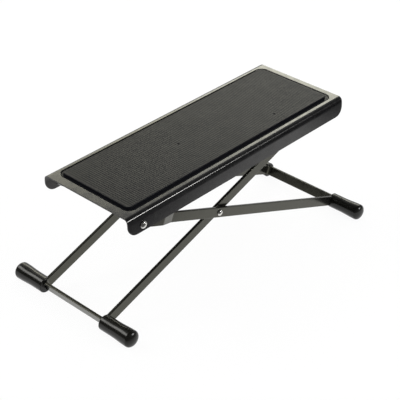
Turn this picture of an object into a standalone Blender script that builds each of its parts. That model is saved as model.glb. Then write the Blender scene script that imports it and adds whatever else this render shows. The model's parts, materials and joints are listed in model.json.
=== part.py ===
"""Folding footrest for a seated guitarist, modelled in metres with +Z up.

A pressed steel plate with a ribbed rubber mat stands on two U-shaped frames of flat steel bar
that cross like scissors. The rear frame hangs on two rivets at the plate's low end. The front
frame is riveted to it at the crossing and carries a rod at its top. The rod runs in two slotted
racks under the plate's high end, whose notches set the height.

Side-view places are given in the plate's own frame: X runs from the pivot end to the rack end,
Y from the near side to the far side, and Z is zero on the plate's top face.
"""
import math

import bmesh
import bpy

# Clearances and cutter sizes
fit_gap = 0.0003
cut_overrun = 0.004

# Pressed steel plate
plate_length = 0.290
plate_width = 0.107
plate_sheet = 0.0012
plate_bend_radius = 0.0045
flange_depth = 0.019
pivot_end_radius = 0.011
rack_end_radius = 0.0085

# Tray pressed into the plate's top
tray_end_border = 0.0087
tray_side_border = 0.0073
tray_depth = 0.0013
tray_corner_radius = 0.0080
tray_floor_radius = 0.0005
tray_lip_radius = 0.0007

# Rubber mat: a thin rim round a raised ribbed pad
mat_rim_gap = 0.0004
mat_rim_thickness = 0.0008
mat_pad_height = 0.0036
mat_pad_end_margin = 0.0009
mat_pad_side_margin = 0.0032
mat_shoulder_radius = 0.0009
mat_rib_pitch = 0.0024
mat_groove_width = 0.0011
mat_groove_depth = 0.0005
mat_plain_margin = 0.0030

# Flat steel bar of both frames
bar_width = 0.010
bar_thickness = 0.003
bar_edge_radius = 0.0006
corner_bend_radius = 0.0045
jog_bend_radius = 0.0060

# Side view of the linkage at rest, with insets from the plate's ends and drops from its top face
pivot_inset = 0.0175
pivot_drop = 0.0124
rod_inset = 0.0445
rod_drop = 0.0130
rear_leg_angle = math.radians(22.48)
front_leg_angle = math.radians(18.87)
rear_foot_overhang = 0.0070
front_foot_overhang = 0.0205

# Fold: the turn up to the highest setting, and the front leg's turn for each turn of the rear leg
raise_angle = math.radians(20.0)
front_turn_share = 0.825

# Steps across the width
pivot_washer_thickness = 0.0015
pivot_washer_radius = 0.0055
jog_start = 0.031
jog_length = 0.015
jog_step = 0.0042
crossing_washer_thickness = 0.0006
crossing_washer_radius = 0.0050

# Rivets
rivet_shank_radius = 0.0020
rivet_tail_radius = 0.0031
rivet_tail_height = 0.0013
rivet_tail_chamfer = 0.0005
pivot_head_radius = 0.0036
pivot_head_height = 0.0021
crossing_head_radius = 0.0030
crossing_head_height = 0.0017

# Height rod, and the slotted racks that it runs in
rod_radius = 0.0030
rod_chamfer = 0.0005
rod_lane_gap = 0.0005
rack_wall = 0.0018
rack_foot_width = 0.0100
rack_leg_gap = 0.0025
rack_end_margin = 0.0090
rack_bottom_margin = 0.0022
notch_count = 5
notch_gap = 0.0004

# Rubber feet, and the steel studs inside them
cap_inner_radius = 0.0069
cap_outer_radius = 0.0082
cap_length = 0.0337
cap_dome = 0.0045
cap_rim_radius = 0.0008
stud_radius = 0.0040
stud_length = 0.0240
stud_chamfer = 0.0010

# Facets
quarter_steps = 6
edge_steps = 3
round_segments = 24
cap_segments = 32
flare_steps = 4
path_steps = 14
smooth_angle = math.radians(35)

# Colours
satin_black = (0.020, 0.020, 0.022, 1.0)
mat_grey = (0.060, 0.060, 0.057, 1.0)
foot_black = (0.016, 0.016, 0.017, 1.0)
nickel = (0.74, 0.73, 0.70, 1.0)
zinc = (0.52, 0.52, 0.50, 1.0)


# Side view

def dip_from(start, reach, angle):
    """The point at a distance from start, in a direction that dips by the angle."""
    return (start[0] + reach * math.cos(angle), start[1] - reach * math.sin(angle))


pivot = (pivot_inset, -pivot_drop)
rod_rest = (plate_length - rod_inset, -rod_drop)
rod_run = rod_rest[0] - pivot[0]
rod_fall = pivot[1] - rod_rest[1]
crossing_run = (rod_fall + rod_run * math.tan(front_leg_angle)) / (
    math.tan(rear_leg_angle) + math.tan(front_leg_angle))
rear_leg_upper = crossing_run / math.cos(rear_leg_angle)
front_leg_upper = (rod_run - crossing_run) / math.cos(front_leg_angle)
crossing = dip_from(pivot, rear_leg_upper, rear_leg_angle)
rear_leg_length = (plate_length + rear_foot_overhang - pivot[0]) / math.cos(rear_leg_angle)
front_leg_lower = (crossing[0] + front_foot_overhang) / math.cos(front_leg_angle)
rear_foot = dip_from(pivot, rear_leg_length, rear_leg_angle)
front_foot = dip_from(crossing, -front_leg_lower, -front_leg_angle)
plate_pitch = math.atan2(front_foot[1] - rear_foot[1], rear_foot[0] - front_foot[0])

# Places across the width, from the middle plane
plate_side = plate_width / 2
flange_inner = plate_side - plate_sheet
pivot_leg_outer = flange_inner - pivot_washer_thickness - 2 * fit_gap
rear_leg_outer = pivot_leg_outer - jog_step
rear_leg_inner = rear_leg_outer - bar_thickness
front_leg_outer = rear_leg_inner - crossing_washer_thickness - 2 * fit_gap
front_leg_inner = front_leg_outer - bar_thickness
rack_outer = front_leg_inner - rack_leg_gap

# The tray's floor and underside, and what the pins run in
tray_floor = -tray_depth
tray_underside = tray_floor - plate_sheet
pin_hole_radius = rivet_shank_radius + fit_gap
rod_lane_radius = rod_radius + rod_lane_gap
notch_radius = rod_radius + notch_gap


def rod_place(turn):
    """The rod's place when the rear leg has turned down by this angle from rest."""
    moved_crossing = dip_from(pivot, rear_leg_upper, rear_leg_angle + turn)
    return dip_from(moved_crossing, front_leg_upper, -front_leg_angle - front_turn_share * turn)


def level(point):
    """A place in the plate's side view, turned so that the feet are level."""
    x, z = point
    return (x * math.cos(plate_pitch) - z * math.sin(plate_pitch),
            x * math.sin(plate_pitch) + z * math.cos(plate_pitch))


# Outlines

def arc(centre, radius, start, end, steps=quarter_steps):
    """Points on an arc in a plane, from one angle in degrees to another."""
    angles = [math.radians(start + (end - start) * step / steps) for step in range(steps + 1)]
    return [(centre[0] + radius * math.cos(a), centre[1] + radius * math.sin(a)) for a in angles]


def circle(centre, radius):
    """A circle whose points lie clear of its middle lines."""
    start = 180 / round_segments
    return arc(centre, radius, start, start + 360, round_segments)[:-1]


def quarter_turn(radius):
    """Pairs of how far a rounded edge has leaned over and risen, in even steps of its angle."""
    angles = [math.radians(90 * step / edge_steps) for step in range(edge_steps + 1)]
    return [(radius * (1 - math.cos(a)), radius * math.sin(a)) for a in angles]


def rounded_ring(half_x, half_y, radius, z):
    """A rectangle with round corners, level at one height and centred on the plate."""
    ring = []
    for quarter, (sx, sy) in enumerate(((1, 1), (-1, 1), (-1, -1), (1, -1))):
        centre = (plate_length / 2 + sx * (half_x - radius), sy * (half_y - radius))
        corner = arc(centre, radius, 90 * quarter, 90 * quarter + 90)
        ring += [(x, y, z) for x, y in corner]
    return ring


# Meshes

def add_rings(mesh, rings, closed=False):
    """Add a tube through rings of points. Its ends are filled, or joined to each other."""
    rows = [[mesh.verts.new(point) for point in ring] for ring in rings]
    count = len(rows[0])
    following_rows = rows[1:] + rows[:1] if closed else rows[1:]
    for row, following in zip(rows, following_rows):
        for index in range(count):
            after = (index + 1) % count
            mesh.faces.new((row[index], row[after], following[after], following[index]))
    if not closed:
        mesh.faces.new(rows[0])
        mesh.faces.new(rows[-1])


def tube(rings, closed=False):
    mesh = bmesh.new()
    add_rings(mesh, rings, closed)
    bmesh.ops.recalc_face_normals(mesh, faces=mesh.faces)
    return mesh


def drawn_along_y(outline, low, high):
    """Rings of an outline in X and Z at two places along Y."""
    return [[(x, y, z) for x, z in outline] for y in (low, high)]


def drawn_along_x(outline, low, high):
    """Rings of an outline in Y and Z at two places along X."""
    return [[(x, y, z) for y, z in outline] for x in (low, high)]


def turned(profile, side, segments, x=0):
    """Rings about a line along Y, from pairs of distance out on one side and radius."""
    rings = []
    for out, radius in profile:
        ring = arc((x, 0), radius, 0, 360, segments)[:-1]
        rings.append([(ring_x, side * out, ring_z) for ring_x, ring_z in ring])
    return rings


# Objects

def material(name, colour, roughness, metallic):
    made = bpy.data.materials.new(name)
    made.use_nodes = True
    shader = made.node_tree.nodes["Principled BSDF"]
    shader.inputs["Base Color"].default_value = colour
    shader.inputs["Roughness"].default_value = roughness
    shader.inputs["Metallic"].default_value = metallic
    return made


def add_object(name, mesh, parent, finish=None):
    """Make an object of a bmesh, smooth its round faces, and give it its parent and finish."""
    data = bpy.data.meshes.new(name)
    mesh.to_mesh(data)
    mesh.free()
    data.shade_smooth()
    data.set_sharp_from_angle(angle=smooth_angle)
    if finish:
        data.materials.append(finish)
    made = bpy.data.objects.new(name, data)
    made.parent = parent
    bpy.context.scene.collection.objects.link(made)
    return made


def combine(target, mesh, operation="DIFFERENCE"):
    """Cut a mesh out of an object, or join it on, by a hidden object under the same parent."""
    name = f"{target.name}_tool_{len(target.modifiers)}"
    tool = add_object(name, mesh, target.parent)
    tool.hide_render = True
    tool.display_type = "WIRE"
    step = target.modifiers.new(name, "BOOLEAN")
    step.operation = operation
    step.solver = "EXACT"
    step.object = tool


def add_axis(name, parent, place, dip):
    """An empty at a place in its parent's side view, with its X axis dipping by the angle."""
    made = bpy.data.objects.new(name, None)
    made.parent = parent
    made.location = (place[0], 0, place[1])
    made.rotation_euler = (0, dip, 0)
    bpy.context.scene.collection.objects.link(made)
    return made


# Plate

def plate_section():
    """The channel's section: a flat top, two bends and two flanges."""
    centre = (plate_side - plate_bend_radius, -plate_bend_radius)
    outer = [(plate_side, -flange_depth)] + arc(centre, plate_bend_radius, 0, 90)
    inner = arc(centre, plate_bend_radius - plate_sheet, 90, 0) + [(flange_inner, -flange_depth)]
    near_outer = [(-y, z) for y, z in reversed(outer)]
    near_inner = [(-y, z) for y, z in reversed(inner)]
    return outer + near_outer + near_inner + inner


def tray_ring(grow, z):
    """The tray's wall line, grown or shrunk, at one height."""
    half_x = plate_length / 2 - tray_end_border
    half_y = plate_side - tray_side_border
    return rounded_ring(half_x + grow, half_y + grow, tray_corner_radius + grow, z)


def tray_hollow():
    """The tray's inside, with a rounded floor edge and a rounded lip."""
    floor = [
        tray_ring(rise - tray_floor_radius, tray_floor + lean)
        for lean, rise in quarter_turn(tray_floor_radius)
    ]
    lip = [
        tray_ring(lean, rise - tray_lip_radius)
        for lean, rise in quarter_turn(tray_lip_radius)
    ]
    return tube(floor + lip + [tray_ring(tray_lip_radius, cut_overrun)])


def tray_pan():
    """The pressed floor, which stands out below the plate's sheet."""
    return tube([
        tray_ring(plate_sheet, -plate_sheet / 2),
        tray_ring(plate_sheet, tray_underside + tray_floor_radius),
        tray_ring(plate_sheet - tray_floor_radius, tray_underside),
    ])


def flange_corner(end, inward, radius):
    """The waste outside the rounded lower corner of both flanges at one end."""
    centre = (end + inward * radius, radius - flange_depth)
    start = 180 if inward > 0 else 360
    outside = end - inward * cut_overrun
    below = -flange_depth - cut_overrun
    outline = [(outside, centre[1])] + arc(centre, radius, start, 270)
    outline += [(centre[0], below), (outside, below)]
    reach = plate_side + cut_overrun
    return tube(drawn_along_y(outline, -reach, reach))


def make_plate(datum):
    paint = material("plate_paint", satin_black, 0.38, 0.0)
    section = drawn_along_x(plate_section(), 0, plate_length)
    plate = add_object("top_plate", tube(section), datum, paint)
    combine(plate, tray_pan(), "UNION")
    combine(plate, tray_hollow())
    combine(plate, flange_corner(0, 1, pivot_end_radius))
    combine(plate, flange_corner(plate_length, -1, rack_end_radius))
    combine(plate, cross_hole(pivot, pin_hole_radius))


# Mat

def mat_ring(end_margin, side_margin, z):
    """The mat's outline, set in from the tray's walls."""
    half_x = plate_length / 2 - tray_end_border - end_margin
    half_y = plate_side - tray_side_border - side_margin
    radius = tray_corner_radius - min(end_margin, side_margin)
    return rounded_ring(half_x, half_y, radius, z)


def mat_grooves():
    """V grooves across the pad's top, with a rib on the middle line."""
    half_x = plate_length / 2 - tray_end_border - mat_pad_end_margin - mat_plain_margin
    reach = plate_side - tray_side_border - mat_pad_side_margin - mat_plain_margin
    count = 2 * int(half_x / mat_rib_pitch)
    low = mat_pad_height - mat_groove_depth
    high = mat_pad_height + mat_groove_depth
    cutter = bmesh.new()
    for index in range(count):
        middle = plate_length / 2 + (index - (count - 1) / 2) * mat_rib_pitch
        outline = [(middle, low), (middle + mat_groove_width, high),
                   (middle - mat_groove_width, high)]
        add_rings(cutter, drawn_along_y(outline, -reach, reach))
    bmesh.ops.recalc_face_normals(cutter, faces=cutter.faces)
    return cutter


def make_mat(datum):
    """The rim lies on the tray's floor, and the pad stands above the plate."""
    rubber = material("mat_rubber", mat_grey, 0.62, 0.0)
    base = tray_floor + fit_gap
    rim_top = base + mat_rim_thickness
    shoulder = mat_pad_height - mat_shoulder_radius
    rings = [
        mat_ring(mat_rim_gap, mat_rim_gap, base),
        mat_ring(mat_rim_gap, mat_rim_gap, rim_top),
        mat_ring(mat_pad_end_margin, mat_pad_side_margin, rim_top),
    ]
    rings += [
        mat_ring(mat_pad_end_margin + lean, mat_pad_side_margin + lean, shoulder + rise)
        for lean, rise in quarter_turn(mat_shoulder_radius)
    ]
    mat = add_object("rubber_mat", tube(rings), datum, rubber)
    combine(mat, mat_grooves())


# Frames of bent bar

def cross_hole(place, radius):
    """A round cutter along Y at a place in its parent's side view, right across the width."""
    reach = plate_side + cut_overrun
    return tube(drawn_along_y(circle(place, radius), -reach, reach))


def bar_stations(path, radii):
    """Places and headings along a path in X and Y whose corners are rounded."""
    headings = [math.atan2(b[1] - a[1], b[0] - a[0]) for a, b in zip(path, path[1:])]
    stations = [(path[0], headings[0])]
    for corner, radius, before, after in zip(path[1:-1], radii, headings, headings[1:]):
        turn = math.remainder(after - before, 2 * math.pi)
        hand = math.copysign(radius, turn)
        back = radius * math.tan(abs(turn) / 2)
        start = (corner[0] - back * math.cos(before), corner[1] - back * math.sin(before))
        centre = (start[0] - hand * math.sin(before), start[1] + hand * math.cos(before))
        steps = math.ceil(quarter_steps * abs(turn) / math.radians(90))
        for step in range(steps + 1):
            heading = before + turn * step / steps
            place = (centre[0] + hand * math.sin(heading), centre[1] - hand * math.cos(heading))
            stations.append((place, heading))
    return stations + [(path[-1], headings[-1])]


def bar_section():
    """The bar's section: pairs of places across its thickness and up its width."""
    half_t = bar_thickness / 2 - bar_edge_radius
    half_w = bar_width / 2 - bar_edge_radius
    section = []
    for quarter, (st, sw) in enumerate(((1, 1), (-1, 1), (-1, -1), (1, -1))):
        centre = (st * half_t, sw * half_w)
        section += arc(centre, bar_edge_radius, 90 * quarter, 90 * quarter + 90, 2)
    return section


def bar_ring(place, heading, width_share=1):
    """The bar's section square to its heading, narrower where its end is rounded."""
    return [
        (place[0] - across * math.sin(heading), place[1] + across * math.cos(heading),
         up * width_share)
        for across, up in bar_section()
    ]


def rounded_end(station, outward):
    """Rings from the tip of a bar's rounded end up to the hole's middle."""
    place, heading = station
    rings = []
    for step in range(quarter_steps, 0, -1):
        angle = math.radians(90 * (step - 1 / 4) / quarter_steps)
        reach = outward * bar_width / 2 * math.sin(angle)
        spot = (place[0] + reach * math.cos(heading), place[1] + reach * math.sin(heading))
        rings.append(bar_ring(spot, heading, math.cos(angle)))
    return rings


def bent_frame(near_path, near_radii):
    """A bar bent along a path on the near side and back along its mirror image."""
    path = near_path + [(x, -y) for x, y in reversed(near_path)]
    stations = bar_stations(path, near_radii + near_radii[::-1])
    middle = [bar_ring(place, heading) for place, heading in stations]
    tip = rounded_end(stations[0], -1)
    other_tip = rounded_end(stations[-1], 1)
    return tube(tip + middle + other_tip[::-1])


def make_rear_frame(pivot_axis):
    paint = material("rear_frame_paint", satin_black, 0.42, 0.0)
    pivot_y = bar_thickness / 2 - pivot_leg_outer
    leg_y = bar_thickness / 2 - rear_leg_outer
    near_path = [
        (0, pivot_y),
        (jog_start, pivot_y),
        (jog_start + jog_length, leg_y),
        (rear_leg_length, leg_y),
    ]
    near_radii = [jog_bend_radius, jog_bend_radius, corner_bend_radius]
    frame = add_object("rear_frame", bent_frame(near_path, near_radii), pivot_axis, paint)
    combine(frame, cross_hole((0, 0), pin_hole_radius))
    combine(frame, cross_hole((rear_leg_upper, 0), pin_hole_radius))


def make_front_frame(crossing_axis):
    paint = material("front_frame_paint", satin_black, 0.42, 0.0)
    leg_y = bar_thickness / 2 - front_leg_outer
    near_path = [(front_leg_upper, leg_y), (-front_leg_lower, leg_y)]
    frame = add_object("front_frame", bent_frame(near_path, [corner_bend_radius]),
                       crossing_axis, paint)
    combine(frame, cross_hole((0, 0), pin_hole_radius))
    combine(frame, cross_hole((front_leg_upper, 0), rod_radius + fit_gap))


# Height rod and racks

def make_height_rod(crossing_axis):
    steel = material("rod_steel", zinc, 0.35, 1.0)
    half = front_leg_outer
    profile = [
        (-half, rod_radius - rod_chamfer),
        (rod_chamfer - half, rod_radius),
        (half - rod_chamfer, rod_radius),
        (half, rod_radius - rod_chamfer),
    ]
    rod = add_object("height_rod", tube(turned(profile, 1, round_segments)), crossing_axis, steel)
    rod.location = (front_leg_upper, 0, 0)


def rod_path():
    """The rod's places from the highest setting to folded flat, in order along X."""
    span = rear_leg_angle + raise_angle
    return [rod_place(raise_angle - span * step / path_steps) for step in range(path_steps + 1)]


def path_height(path, x):
    """The rod's height at a place along the plate, between two known places on its path."""
    for (x0, z0), (x1, z1) in zip(path, path[1:]):
        if x0 <= x <= x1:
            return z0 + (z1 - z0) * (x - x0) / (x1 - x0)
    raise ValueError("the rod never reaches this place")


def rack_slot():
    """The slot's outline: a lane along the rod's path, with notches open to it from above."""
    path = rod_path()
    lower = [(x, z - rod_lane_radius) for x, z in path]
    folded_end = arc(path[-1], rod_lane_radius, 270, 450)[1:]
    high_end = arc(path[0], rod_lane_radius, 180, 270)[:-1]
    notches = []
    for index in range(notch_count):
        x = rod_rest[0] + (path[0][0] - rod_rest[0]) * index / (notch_count - 1)
        roof = path_height(path, x) + rod_lane_radius
        notches += arc((x, roof), notch_radius, 0, 180)
    upper = [(x, z + rod_lane_radius) for x, z in reversed(path[:-1]) if x > notches[0][0]]
    return lower + folded_end + upper + notches + high_end


def make_rack(name, side, datum, steel):
    """A slotted wall, with a foot that is spot-welded under the tray."""
    path = rod_path()
    top = tray_underside - fit_gap
    foot_under = top - rack_wall
    bottom = min(z for x, z in path) - rod_lane_radius - rack_bottom_margin
    inner = rack_outer - rack_wall
    foot = rack_outer - rack_foot_width
    section = [(rack_outer, bottom), (rack_outer, top), (foot, top), (foot, foot_under),
               (inner, foot_under), (inner, bottom)]
    section = [(side * y, z) for y, z in section]
    ends = (path[0][0] - rack_end_margin, path[-1][0] + rack_end_margin)
    rack = add_object(name, tube(drawn_along_x(section, *ends)), datum, steel)
    near, far = side * (inner - cut_overrun), side * (rack_outer + cut_overrun)
    combine(rack, tube(drawn_along_y(rack_slot(), near, far)))


# Rivets and washers

def rivet(outer_face, inner_face, head_radius, head_height):
    """A domed head, a shank and a flat tail, as pairs of distance out and radius."""
    seat = outer_face + fit_gap
    tail = inner_face - fit_gap
    angles = [math.radians(90 * step / quarter_steps) for step in range(1, quarter_steps + 1)]
    head = [(seat + head_height * math.cos(a), head_radius * math.sin(a)) for a in angles]
    return head + [
        (seat, rivet_shank_radius),
        (tail, rivet_shank_radius),
        (tail, rivet_tail_radius),
        (tail - rivet_tail_height, rivet_tail_radius - rivet_tail_chamfer),
    ]


def washer(outer_face, thickness, radius):
    """A flat ring under the given face, as pairs of distance out and radius."""
    top = outer_face - fit_gap
    bottom = top - thickness
    return [(top, pin_hole_radius), (top, radius), (bottom, radius), (bottom, pin_hole_radius)]


def make_side_joints(side_name, side, pivot_axis, crossing_axis, steel, plain_steel):
    """The rivet and washer at the flange, and those at the crossing, on one side."""
    pivot_rivet = rivet(plate_side, pivot_leg_outer - bar_thickness,
                        pivot_head_radius, pivot_head_height)
    crossing_rivet = rivet(rear_leg_outer, front_leg_inner,
                           crossing_head_radius, crossing_head_height)
    pivot_washer = washer(flange_inner, pivot_washer_thickness, pivot_washer_radius)
    crossing_washer = washer(rear_leg_inner, crossing_washer_thickness, crossing_washer_radius)
    pieces = (
        ("pivot_rivet", pivot_rivet, False, pivot_axis, steel),
        ("pivot_washer", pivot_washer, True, pivot_axis, plain_steel),
        ("crossing_rivet", crossing_rivet, False, crossing_axis, steel),
        ("crossing_washer", crossing_washer, True, crossing_axis, plain_steel),
    )
    for name, profile, closed, axis, finish in pieces:
        mesh = tube(turned(profile, side, round_segments), closed)
        add_object(f"{name}_{side_name}", mesh, axis, finish)


# Feet

def cap_profile(inner_end):
    """A sleeve that flares from a rounded inner rim to a domed outer end."""
    rim = [
        (inner_end + lean, cap_inner_radius - cap_rim_radius + rise)
        for lean, rise in quarter_turn(cap_rim_radius)
    ]
    flare_start = inner_end + cap_rim_radius
    dome_start = inner_end + cap_length
    flare = []
    for step in range(1, flare_steps + 1):
        share = step / flare_steps
        growth = (1 - math.cos(math.pi * share)) / 2
        flare.append((flare_start + (dome_start - flare_start) * share,
                      cap_inner_radius + (cap_outer_radius - cap_inner_radius) * growth))
    angles = [math.radians(90 * (step - 1 / 8) / quarter_steps)
              for step in range(1, quarter_steps + 1)]
    dome = [
        (dome_start + cap_dome * math.sin(a), cap_outer_radius * math.cos(a)) for a in angles
    ]
    return rim + flare + dome


def cap_slot(x, leg_way, side, leg_outer):
    """The slot that lets the cap over the bar's bent corner, open towards the leg."""
    back = x - leg_way * (bar_thickness / 2 + fit_gap)
    front = x + leg_way * (cap_outer_radius + cut_overrun)
    half = bar_width / 2 + fit_gap
    outline = [(back, -half), (front, -half), (front, half), (back, half)]
    inside = side * (leg_outer - bar_thickness - cut_overrun)
    floor = side * (leg_outer + fit_gap)
    return tube(drawn_along_y(outline, inside, floor))


def make_foot(name, side, x, leg_way, leg_outer, axis, rubber, steel):
    """A rubber cap over a frame's bent corner, and the welded stud that carries it."""
    sleeve = turned(cap_profile(leg_outer - bar_thickness), side, cap_segments)
    cap = add_object(f"foot_cap_{name}", tube(sleeve), axis, rubber)
    cap.location = (x, 0, 0)
    combine(cap, cap_slot(x, leg_way, side, leg_outer))
    seat = leg_outer + fit_gap
    end = seat + stud_length
    bore_radius = stud_radius + fit_gap
    bore = [(leg_outer - fit_gap, bore_radius), (end + fit_gap, bore_radius)]
    combine(cap, tube(turned(bore, side, round_segments, x)))
    profile = [
        (seat, stud_radius),
        (end - stud_chamfer, stud_radius),
        (end, stud_radius - stud_chamfer),
    ]
    pin = tube(turned(profile, side, round_segments))
    stud = add_object(f"foot_stud_{name}", pin, axis, steel)
    stud.location = (x, 0, 0)


# Assembly

def clear_scene():
    for old in list(bpy.data.objects):
        bpy.data.objects.remove(old, do_unlink=True)


def build():
    clear_scene()
    front_x, front_z = level(front_foot)
    rear_x = level(rear_foot)[0]
    place = (-(front_x + rear_x) / 2, cap_outer_radius - front_z)
    datum = add_axis("plate_datum", None, place, -plate_pitch)
    pivot_axis = add_axis("rear_frame_axis", datum, pivot, rear_leg_angle)
    crossing_axis = add_axis("front_frame_axis", pivot_axis, (rear_leg_upper, 0),
                             -rear_leg_angle - front_leg_angle)
    make_plate(datum)
    make_mat(datum)
    make_rear_frame(pivot_axis)
    make_front_frame(crossing_axis)
    make_height_rod(crossing_axis)
    rack_steel = material("rack_steel", satin_black, 0.42, 0.0)
    rivet_steel = material("rivet_steel", nickel, 0.22, 1.0)
    washer_steel = material("washer_steel", zinc, 0.40, 1.0)
    stud_steel = material("stud_steel", zinc, 0.45, 1.0)
    rubber = material("foot_rubber", foot_black, 0.42, 0.0)
    for side_name, side in (("near", -1), ("far", 1)):
        make_rack(f"height_rack_{side_name}", side, datum, rack_steel)
        make_side_joints(side_name, side, pivot_axis, crossing_axis, rivet_steel, washer_steel)
        make_foot(f"rear_{side_name}", side, rear_leg_length, -1, rear_leg_outer, pivot_axis,
                  rubber, stud_steel)
        make_foot(f"front_{side_name}", side, -front_leg_lower, 1, front_leg_outer,
                  crossing_axis, rubber, stud_steel)


build()
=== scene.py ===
"""Looks of the folding guitar footrest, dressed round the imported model.

Side-view places are given in the frame of the body that carries them: the plate's own frame has
X from the pivot end to the rack end and Z zero on its top face, and each bent frame has X along
its legs from its own joint.
"""
import json
import math

import bmesh
import bpy
from mathutils import Euler, Matrix, Vector


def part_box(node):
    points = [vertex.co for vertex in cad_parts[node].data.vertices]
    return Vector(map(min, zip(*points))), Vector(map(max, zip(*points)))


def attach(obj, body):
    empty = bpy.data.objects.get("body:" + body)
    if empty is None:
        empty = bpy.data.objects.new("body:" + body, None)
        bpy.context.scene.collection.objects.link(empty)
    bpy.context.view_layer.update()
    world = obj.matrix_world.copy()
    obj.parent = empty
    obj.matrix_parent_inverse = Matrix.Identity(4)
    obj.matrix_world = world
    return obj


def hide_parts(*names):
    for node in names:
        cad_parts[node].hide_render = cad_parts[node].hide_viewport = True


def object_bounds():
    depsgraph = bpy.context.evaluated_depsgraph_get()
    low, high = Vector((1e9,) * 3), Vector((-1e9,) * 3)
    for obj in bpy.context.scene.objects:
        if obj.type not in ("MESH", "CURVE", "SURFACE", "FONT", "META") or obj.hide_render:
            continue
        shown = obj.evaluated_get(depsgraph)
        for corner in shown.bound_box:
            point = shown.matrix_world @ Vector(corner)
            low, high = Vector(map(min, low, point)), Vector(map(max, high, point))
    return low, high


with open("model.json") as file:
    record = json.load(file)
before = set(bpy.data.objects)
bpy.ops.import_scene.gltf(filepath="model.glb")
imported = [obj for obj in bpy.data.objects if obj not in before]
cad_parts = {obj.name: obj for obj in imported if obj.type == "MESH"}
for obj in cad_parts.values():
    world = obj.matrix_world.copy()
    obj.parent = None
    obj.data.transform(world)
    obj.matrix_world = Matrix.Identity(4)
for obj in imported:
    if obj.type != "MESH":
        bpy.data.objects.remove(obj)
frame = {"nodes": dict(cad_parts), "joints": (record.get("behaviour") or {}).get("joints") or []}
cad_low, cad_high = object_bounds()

# Clearances and cutter sizes, in metres
fit_gap = 0.0003
cut_overrun = 0.004

# Pressed steel plate
plate_length = 0.290
plate_width = 0.107
plate_sheet = 0.0012
plate_bend_radius = 0.0041
plate_flank_radius = 0.020
plate_flank_angle = 12
flange_depth = 0.019
pivot_end_radius = 0.011
rack_end_radius = 0.0085
plate_edge_bevel = 0.00022

# Tray pressed into the plate's top: borders at the pivot and rack ends, near and far sides
tray_end_borders = (0.0091, 0.0061)
tray_side_borders = (0.0080, 0.0070)
tray_depth = 0.0013
tray_corner_radius = 0.0080
tray_floor_radius = 0.0005
tray_lip_radius = 0.0008

# Rubber mat
mat_rim_gap = 0.0004
mat_rim_thickness = 0.0004
mat_rim_round = 0.0002
mat_pad_height = 0.0020
mat_pad_end_margins = (0.0022, 0.0046)
mat_pad_side_margins = (0.0033, 0.0034)
mat_pad_corner_radius = 0.0036
mat_shoulder_radius = 0.0006
mat_rib_pitch = 0.0024
mat_groove_width = 0.0021
mat_groove_depth = 0.00008
mat_plain_margin = 0.0014
mark_radius = 0.0015
mark_depth = 0.0007
mark_floor_share = 0.25
mark_places = ((0.1157, 0.0002), (0.2171, -0.0282))

# Flat steel bar of both frames
bar_width = 0.010
bar_thickness = 0.003
bar_edge_radius = 0.0006
corner_bend_radius = 0.0045
jog_bend_radius = 0.0060
hole_edge_bevel = 0.0002

# Side view of the linkage
pivot_inset = 0.0175
pivot_drop = 0.0124
rod_inset = 0.0445
rod_drop = 0.0130
raise_angle = math.radians(20.0)
fold_angle = math.radians(22.48)
front_turn_share = 0.825

# Steps across the width
pivot_washer_thickness = 0.0015
pivot_washer_radius = 0.0055
jog_start = 0.031
jog_length = 0.015
jog_step = 0.0042
crossing_washer_thickness = 0.0006
crossing_washer_radius = 0.0050
washer_edge_bevel = 0.00015

# Rivets
rivet_shank_radius = 0.0020
rivet_tail_radius = 0.0031
rivet_tail_height = 0.0013
rivet_tail_chamfer = 0.0005
pivot_head_radius = 0.0036
pivot_head_height = 0.0021
crossing_head_radius = 0.0030
crossing_head_height = 0.0017

# Height rod and racks
rod_radius = 0.0030
rod_chamfer = 0.0005
rod_lane_gap = 0.0005
rack_wall = 0.0018
rack_foot_width = 0.0100
rack_leg_gap = 0.0025
rack_end_margin = 0.0090
rack_bottom_margin = 0.0022
rack_edge_bevel = 0.0002
notch_count = 5
notch_gap = 0.0004

# Rubber feet
cap_inner_radius = 0.0075
cap_outer_radius = 0.0082
cap_length = 0.0337
cap_flare_shares = (0.40, 0.95)
cap_dome = 0.0045
cap_rim_radius = 0.0008
cap_edge_bevel = 0.0003
stud_radius = 0.0040
stud_length = 0.0240

# Facets. The last ring of a dome or of a bar's end lies part of a step short of the tip
quarter_steps = 12
edge_steps = 6
round_segments = 64
cap_segments = 96
flare_steps = 24
groove_steps = 8
path_steps = 28
bevel_segments = 2
dome_tip_steps = 1 / 8
bar_tip_steps = 1 / 4
smooth_angle = math.radians(32)
bevel_angle = math.radians(50)

# Camera, fitted to the photograph
camera_place = (-0.75854, -0.68343, 0.64927)
camera_turn = (59.6605, -2.4246, -46.6266)
camera_lens = 110.74
camera_sensor = 36.0

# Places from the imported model


def joint_place(name):
    return Vector(next(joint["pos_m"] for joint in frame["joints"] if joint["name"] == name))


def box_middle(node):
    low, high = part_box(node)
    return (low + high) / 2


def dip_between(start, end):
    """The angle by which a line from start to end dips below level, in the side view."""
    return math.atan2(start[1] - end[1], end[0] - start[0])


def side_view(place):
    return (place.x, place.z)


def carried(place, dip):
    """The frame at a place whose X axis dips by the angle."""
    return Matrix.Translation(place) @ Matrix.Rotation(dip, 4, "Y")


pivot_place = joint_place("rear_frame_fold")
crossing_place = joint_place("front_frame_fold")
rod_middle = box_middle("height_rod")
rod_middle.y = 0
rear_foot = box_middle("foot_stud_rear_near")
front_foot = box_middle("foot_stud_front_near")
rear_foot.y = front_foot.y = 0

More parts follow.
